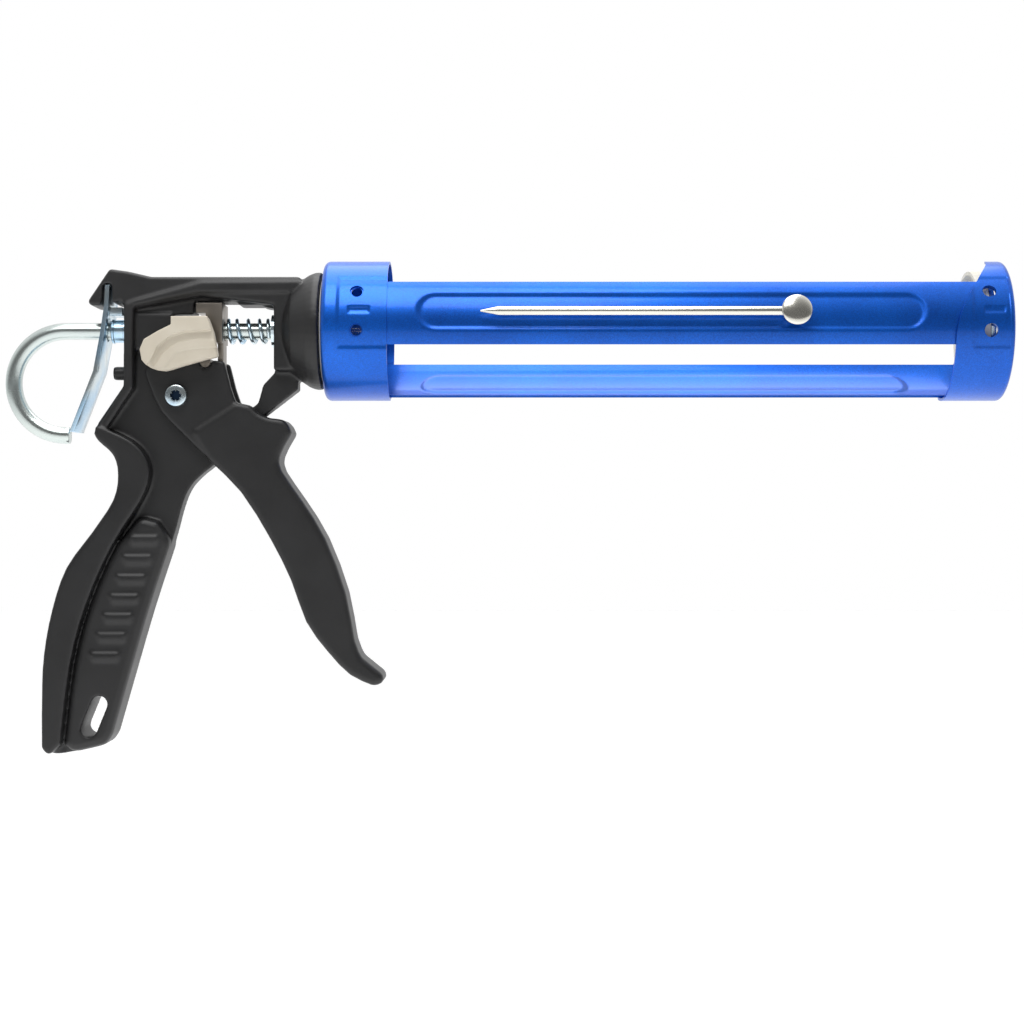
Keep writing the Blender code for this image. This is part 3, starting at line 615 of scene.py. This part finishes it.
@dataclass
class Selector:
    """The cast thumb lever with its raised, curved upper ridge."""

    layout: Layout
    near: float = -12.6
    thickness: float = 5.0
    ridge: float = 2.1

    def build(self) -> None:
        """Add the ridge to the frame's lever, soften it and dress it."""
        lever = copy_node(self.layout, "selector_lever", "thumb_lever")
        front = self.near - self.thickness
        points = [(-57.3, 4.1), (-43.6, 4.3), (-41.9, -1.0), (-52.5, -1.6), (-58.0, -3.6), (-62.6, -7.6),
                  (-65.0, -12.8), (-66.6, -14.6), (-68.4, -12.6), (-69.2, -8.5), (-67.6, -4.6), (-62.0, -1.3),
                  (-57.3, 1.0)]
        joined(lever, outline_solid("ridge", points, front - self.ridge, front + 1.0, self.layout), Cut.JOIN)
        lobe = [(-64.2, -15.2), (-60.6, -9.6), (-55.0, -5.6), (-48.0, -4.4), (-40.9, -4.8), (-40.2, -7.6),
                (-49.0, -7.8), (-56.0, -9.6), (-60.0, -15.6)]
        joined(lever, outline_solid("lobe", lobe, front - 0.6, front + 1.0, self.layout), Cut.JOIN)
        dress(cast(lever, 0.3, 5), POWDER, "selector", "selector_lever")


@dataclass
class Cradle:
    """The revolving blue cradle: collar, two pressed rails and the C-shaped front ring."""

    layout: Layout
    roll: float = 34.5
    rail_offset: float = 68.5
    rail_half_span: float = 29.0
    rail_sheet: float = 0.9
    rail_lap: float = 20.0
    ring_cover: float = 138.5
    ring_tip: float = 6.5
    ring_taper: float = 45.0
    hole_radius: float = 2.6
    hole_spread: float = 17.0
    emboss_depth: float = 0.75
    emboss_half_degrees: float = 15.0
    emboss_ends: Point = (37.0, 228.5)
    patch_depth: float = 0.55
    dash_depth: float = 0.5
    collar_patch: float = 6.6
    ring_patch: float = 15.8
    collar_hole: float = 13.7
    ring_hole: float = 9.3
    collar_corner: float = 2.4
    collar_turn_in: float = 1.6
    ring_corner: float = 1.6
    ring_lip: float = 18.5
    band: float = 1.0
    gap: float = 0.3
    rivet_angle: float = 10.2
    rivet_hole: float = 2.4

    def __post_init__(self) -> None:
        """Read the band's sizes from the frame."""
        low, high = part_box("rear_collar")
        self.band_outer = (high[1] - low[1]) / 2 / MM
        self.collar_length = (high[0] - low[0]) / MM
        self.rail_outer = self.band_outer - self.band - self.gap
        low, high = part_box("front_ring")
        self.ring_front = (high[0] - self.layout.rear) / MM
        self.ring_length = (high[0] - low[0]) / MM
        self.bottom = -90.0 + self.roll
        self.near = self.bottom + self.rail_offset
        self.far = self.bottom - self.rail_offset

    def build(self) -> None:
        """Build and dress every blue piece."""
        for name, node, centre in (("pressed_near_rail", "near_rail", self.near),
                                   ("pressed_far_rail", "far_rail", self.far)):
            rail = self.rail(name, centre)
            dress(soften(rail, 50), ENAMEL, "cradle", node)
        dress(soften(self.collar(), 50), ENAMEL, "cradle", "rear_collar")
        dress(soften(self.ring(), 50), ENAMEL, "cradle", "front_ring")

    def rail(self, name: str, centre: float) -> bpy.types.Object:
        """One rail with its long shallow emboss."""
        start = self.collar_length - self.rail_lap
        end = self.ring_front - self.band - self.gap
        half_arc = math.radians(self.emboss_half_degrees) * self.rail_outer

        def place(u: float, v: float) -> Vector:
            x = start + (end - start) * v
            degrees = centre + self.rail_half_span * (1 - 2 * u)
            side = math.radians(degrees - centre) * self.rail_outer
            over = max(self.emboss_ends[0] + half_arc - x, x - self.emboss_ends[1] + half_arc, 0.0)
            inside = half_arc - math.hypot(over, side)
            radius = self.rail_outer - self.emboss_depth * ease(inside / 1.8 + 0.5)
            return self.layout.at(x, *polar(radius, degrees))

        rail = sheet(name, 36, 300, place, self.rail_sheet)
        for x, radius in ((self.collar_hole, self.hole_radius - 0.5),
                          (self.ring_front - self.ring_hole, self.hole_radius)):
            for sign in (-1, 1):
                self.drill(rail, x, centre + sign * self.hole_spread, radius)
        if centre == self.near:
            self.drill(rail, self.layout.rivet_x(), self.rivet_angle, self.rivet_hole)
        return rail

    def drill(self, target: bpy.types.Object, x: float, degrees: float, radius: float,
              inner: float = 20.0) -> None:
        """Cut a round hole through a sheet along a radius of the barrel.

        Args:
            target: The sheet.
            x: Distance from the collar's rear face.
            degrees: Place round the barrel.
            radius: The hole's radius.
            inner: How near the barrel axis the drill starts.
        """
        start = self.layout.at(x, *polar(inner, degrees))
        end = self.layout.at(x, *polar(self.band_outer + 4.0, degrees))
        joined(target, bar("drill", start, end, radius), Cut.AWAY)

    def patch(self, x: float, degrees: float, low_x: float, high_x: float) -> float:
        """Height of the joining patch over each rail and of the short dash in it."""
        height = 0.0
        for centre in (self.near, self.far):
            side = math.radians(((degrees - centre + 180) % 360) - 180) * self.band_outer
            half = math.radians(self.rail_half_span + 2.0) * self.band_outer
            inside = min(x - low_x, high_x - x, half - abs(side))
            height -= self.patch_depth * ease(inside / 1.6 + 0.5)
            dash = min(3.9 - abs(x - (low_x + 8.0)), 1.1 - abs(side))
            height -= self.dash_depth * ease(dash / 0.8 + 0.5)
        return height

    def collar(self) -> bpy.types.Object:
        """The rear collar, its rounded rear edge and its joining patches."""
        length = self.collar_length
        corner = self.collar_corner
        arc_length = math.pi / 2 * corner
        total = (length - corner) + arc_length + self.collar_turn_in

        def place(u: float, v: float) -> Vector:
            degrees = 360.0 * u + 80.0
            run = total * v
            if run <= length - corner:
                x = length - run
                radius = self.band_outer + self.patch(x, degrees, self.collar_patch, length + 5.0)
            elif run <= length - corner + arc_length:
                turn = (run - (length - corner)) / corner
                x = corner - corner * math.sin(turn)
                radius = self.band_outer - corner * (1 - math.cos(turn))
            else:
                x = 0.0
                radius = self.band_outer - corner - (run - (length - corner) - arc_length)
            return self.layout.at(x, *polar(radius, degrees))

        collar = sheet("pressed_collar", 300, 64, place, self.band, ring=True)
        return self.holes(collar, self.collar_hole)

    def ring(self) -> bpy.types.Object:
        """The front ring, narrowing to its tips, with its inward lip."""
        lip = self.band_outer - self.ring_lip
        corner = self.ring_corner
        band_share = 0.8

        def place(u: float, v: float) -> Vector:
            share = 2 * u - 1
            degrees = self.bottom - self.ring_cover * share
            away = abs(share) * self.ring_cover
            taper = ease((away - self.ring_taper) / (self.ring_cover - self.ring_taper))
            length = self.ring_length + (self.ring_tip - self.ring_length) * taper
            if v <= band_share:
                run = (length - corner) * v / band_share
                x = self.ring_front - length + run
                patch = self.patch(x, degrees, self.ring_front - self.ring_patch, self.ring_front + 9.0)
                radius = self.band_outer + patch * 0.6
            else:
                run = (v - band_share) / (1 - band_share) * (corner * math.pi / 2 + lip - corner)
                turn = min(run / corner, math.pi / 2)
                x = self.ring_front - corner + corner * math.sin(turn)
                inward = max(0.0, run - corner * math.pi / 2)
                radius = self.band_outer - corner * (1 - math.cos(turn)) - inward
            return self.layout.at(x, *polar(radius, degrees))

        ring = sheet("pressed_front_ring", 240, 70, place, self.band)
        return self.holes(ring, self.ring_front - self.ring_hole)

    def holes(self, target: bpy.types.Object, x: float) -> bpy.types.Object:
        """Cut the clinch holes over each rail."""
        for centre in (self.near, self.far):
            for sign in (-1, 1):
                self.drill(target, x, centre + sign * self.hole_spread, self.hole_radius)
        return target


@dataclass
class Needle:
    """The swing-out puncture needle and its domed rivet."""

    layout: Layout
    angle: float = 10.2
    radius: float = 1.8
    length: float = 119.0
    eye: float = 5.0
    lift: float = 29.15
    point: float = 7.0
    bore: float = 2.45
    head: float = 5.8
    dome: float = 1.5

    def build(self) -> None:
        """Build and dress the needle and the rivet."""
        x = self.layout.rivet_x()
        y, z = polar(1.0, self.angle)
        outward = Vector((0.0, y, z))
        pivot = self.layout.at(x, *polar(self.lift, self.angle))
        r = self.radius
        profile = [(self.length, 0.0), (self.length - 0.3, 0.3), (self.length - self.point, r), (3.6, r),
                   (3.2, 0.0)]
        needle = turned("needle_shank", profile, pivot, Vector((-1, 0, 0)), 32)
        eye_profile = [(r, 0.0), (r, self.eye - 0.5), (r - 0.5, self.eye), (0.5 - r, self.eye),
                       (-r, self.eye - 0.5), (-r, 0.0)]
        joined(needle, turned("eye", eye_profile, pivot, outward, 48), Cut.JOIN)
        joined(needle, bar("hole", pivot - outward * 6 * MM, pivot + outward * 6 * MM, self.bore),
               Cut.AWAY)
        dress(soften(needle, 30), NICKEL, "needle", "puncture_needle")
        base = self.lift + r + 0.3
        turns = [step * math.pi / 16 for step in range(9)]
        dome = [(base + self.dome * math.cos(turn), self.head * math.sin(turn)) for turn in turns]
        rivet_profile = dome + [(base, 2.1), (24.55, 2.1), (24.55, 3.4), (23.95, 3.0), (23.95, 0.0)]
        rivet = turned("domed_rivet", rivet_profile, self.layout.at(x, 0, 0), outward, 48)
        dress(soften(rivet, 35), NICKEL, "cradle", "needle_rivet")


@dataclass
class PushRod:
    """The hooked push rod."""

    layout: Layout
    hook_x: float = -101.4
    chamfer: float = 0.6
    bend_steps: int = 48

    def build(self) -> None:
        """Bend the rod at the frame's own size and dress it."""
        low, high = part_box("push_rod")
        radius = (high[1] - low[1]) / 2 / MM
        bend = ((high[2] - low[2]) / MM - 2 * radius) / 2
        front = (high[0] - self.layout.rear) / MM
        points = [self.layout.at(self.hook_x + 1.6, 0, -2 * bend)]
        for step in range(self.bend_steps + 1):
            turn = math.radians(270 - 180 * step / self.bend_steps)
            points.append(self.layout.at(self.hook_x + bend * math.cos(turn), 0, bend * (math.sin(turn) - 1)))
        points.append(self.layout.at(-20, 0, 0))
        points.append(self.layout.at(front, 0, 0))
        rod = bevelled(wire("drawn_push_rod", points, radius, 7), self.chamfer, 2, 60)
        dress(soften(rod, 40), DRAWN, "rod", "push_rod")


@dataclass
class Springs:
    """The coil spring and the sleeved spring round the rod."""

    layout: Layout
    wire_radius: float = 0.72
    drive_turns: float = 4.6
    drive_keep: float = 0.7
    release_keep: float = 0.62

    def build(self) -> None:
        """Wind the drive spring, turn the release spring's sleeve, and dress them."""
        self.coil("drive_coil", "drive_spring", self.drive_turns)
        low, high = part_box("release_spring")
        outer = (high[1] - low[1]) / 2 / MM
        length = (high[0] - low[0]) / MM
        start = self.layout.at((low[0] - self.layout.rear) / MM, 0, 0)
        rim = [(0.0, outer - 1.0), (0.0, outer - 0.3), (0.3, outer), (0.9, outer), (1.1, outer - 0.35)]
        profile = rim + [(length - x, radius) for x, radius in reversed(rim)]
        sleeve = turned("release_spring_sleeve", profile, start, Vector((1, 0, 0)), 56)
        dress(soften(sleeve, 40), ZINC, "frame", "release_spring")
        self.shorten(sleeve, self.release_keep)

    def coil(self, name: str, node: str, turns: float) -> None:
        """One coil between the ends of its frame tube, with closed end turns."""
        low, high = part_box(node)
        outer = (high[1] - low[1]) / 2 / MM
        start = (low[0] - self.layout.rear) / MM + self.wire_radius
        end = (high[0] - self.layout.rear) / MM - self.wire_radius
        mean = outer - self.wire_radius
        steps = int(turns * 28)
        points = []
        for step in range(steps + 1):
            share = step / steps
            travel = ease(share) * 0.55 + share * 0.45
            turn = share * turns * math.tau
            x = start + (end - start) * travel
            points.append(self.layout.at(x, mean * math.cos(turn), mean * math.sin(turn)))
        spring = wire(name, points, self.wire_radius, 3)
        dress(soften(spring, 40), ZINC, "frame", node)
        self.shorten(spring, self.drive_keep)

    def shorten(self, spring: bpy.types.Object, keep: float) -> None:
        """Give a spring its own copy of its mesh."""
        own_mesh(spring)


@dataclass
class Plates:
    """The zinc release plate and the hardened drive plate."""

    layout: Layout
    tab: tuple[float, float, float, float] = (-84.6, -78.5, 5.8, 8.9)

    def build(self) -> None:
        """Round the plates' stamped edges, add the release plate's tab and dress both."""
        for node, name, finish, body in (("release_plate", "stamped_release_plate", ZINC, "release"),
                                         ("drive_plate", "stamped_drive_plate", HARD, "drive")):
            plate = copy_node(self.layout, node, name)
            if node == "release_plate":
                left, right, low, high = self.tab
                outline = [(left, low), (right, low), (right, high), (left, high)]
                joined(plate, outline_solid("tab", outline, -5.0, 5.0, self.layout), Cut.JOIN)
            activate(plate)
            bpy.ops.object.mode_set(mode="EDIT")
            bpy.ops.mesh.select_all(action="SELECT")
            bpy.ops.mesh.dissolve_limited(angle_limit=math.radians(1))
            bpy.ops.object.mode_set(mode="OBJECT")
            dress(soften(bevelled(plate, 0.35, 3, 50), 35), finish, body, node)


@dataclass
class Hardware:
    """Small frame pieces that keep their own solids and get their real finish."""

    layout: Layout
    finishes: dict[str, Finish] = field(default_factory=lambda: {
        "front_bush": BRONZE, "friction_washer": SEAL, "cradle_circlip": HARD, "spring_seat_washer": ZINC,
        "selector_pin": HARD, "cradle_end_plate": ENAMEL, "piston_plate": ZINC, "piston_seal": SEAL,
        "piston_washer": ZINC, "piston_rear_nut": ZINC, "piston_front_nut": ZINC, "push_pin": HARD})

    def build(self) -> None:
        """Put each finish on its frame node."""
        for node, finish in self.finishes.items():
            solid = self.layout.nodes[node]
            solid.data.materials.clear()
            solid.data.materials.append(finish.make())
            LOG.info("%s keeps its solid", node)


@dataclass
class Studio:
    """Camera, soft lights, white surround and pale floor."""

    layout: Layout
    distance: float = 780.0
    centre: Point = (72.5, -70.4)
    view_width: float = 399.4
    floor_depth: float = 330.0
    table_glow: float = 0.22

    def build(self) -> None:
        """Set up the camera at the gun's side, the lights and the floor."""
        camera = bpy.data.cameras.new("camera")
        camera.sensor_width = 36.0
        camera.lens = camera.sensor_width * self.distance / self.view_width
        holder = bpy.data.objects.new("camera", camera)
        holder.location = self.layout.at(self.centre[0], -self.distance, self.centre[1])
        holder.rotation_euler = (math.radians(90), 0, 0)
        bpy.context.scene.collection.objects.link(holder)
        bpy.context.scene.camera = holder
        bpy.context.scene.view_settings.view_transform = "Standard"
        self.light("key", (-60, -420, 640), 520, 4.0)
        self.light("top", (80, 160, 620), 620, 3.0)
        self.surround()
        self.floor()

    def light(self, name: str, place: tuple[float, float, float], size: float, power: float) -> None:
        """One square soft light that faces the middle of the gun."""
        lamp = bpy.data.lights.new(name, "AREA")
        lamp.size = size * MM
        lamp.energy = power
        made = bpy.data.objects.new(name, lamp)
        made.location = self.layout.at(*place)
        aim = self.layout.at(60, 0, -40) - made.location
        made.rotation_euler = aim.to_track_quat("-Z", "Y").to_euler()
        bpy.context.scene.collection.objects.link(made)

    def surround(self) -> None:
        """White light from behind and above the gun that falls off to grey in front and below."""
        world = bpy.data.worlds.new("surround")
        world.use_nodes = True
        background = world.node_tree.nodes["Background"]
        background.inputs["Color"].default_value = (1.0, 1.0, 1.0, 1.0)
        place = add_node(world, "ShaderNodeTexCoord")
        lean = add_node(world, "ShaderNodeVectorMath", {"operation": "DOT_PRODUCT", 1: (0.0, 0.8, 0.6)},
                        {0: place.outputs["Generated"]})
        fall = add_node(world, "ShaderNodeMapRange",
                        {"interpolation_type": "SMOOTHSTEP", "From Min": -0.5, "From Max": 0.55,
                         "To Min": 0.16, "To Max": 1.0}, {"Value": lean.outputs["Value"]})
        world.node_tree.links.new(fall.outputs["Result"], background.inputs["Strength"])
        bpy.context.scene.world = world

    def floor(self) -> None:
        """A pale opal acrylic table well under the gun, faintly lit from below."""
        deselect_all()
        bpy.ops.mesh.primitive_plane_add(size=9.0, location=self.layout.at(0, 0, -self.floor_depth))
        made = bpy.context.object
        made.name = "floor"
        pale = bpy.data.materials.new("pale_floor")
        pale.use_nodes = True
        shader = pale.node_tree.nodes["Principled BSDF"]
        shader.inputs["Base Color"].default_value = linear("FAFAFA")
        shader.inputs["Roughness"].default_value = 0.9
        shader.inputs["Emission Color"].default_value = linear("FFFFFF")
        shader.inputs["Emission Strength"].default_value = self.table_glow
        made.data.materials.append(pale)


def main() -> None:
    """Load the frame, build every sub-assembly and report it."""
    logging.basicConfig(level=logging.INFO, format="%(message)s")
    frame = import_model()
    layout = Layout.read(frame)
    Studio(layout).build()
    for assembly in (BodyMoulding, TriggerSet, Selector, Cradle, Needle, PushRod, Springs, Plates, Hardware):
        assembly(layout).build()


if __name__ == "__main__":
    main()
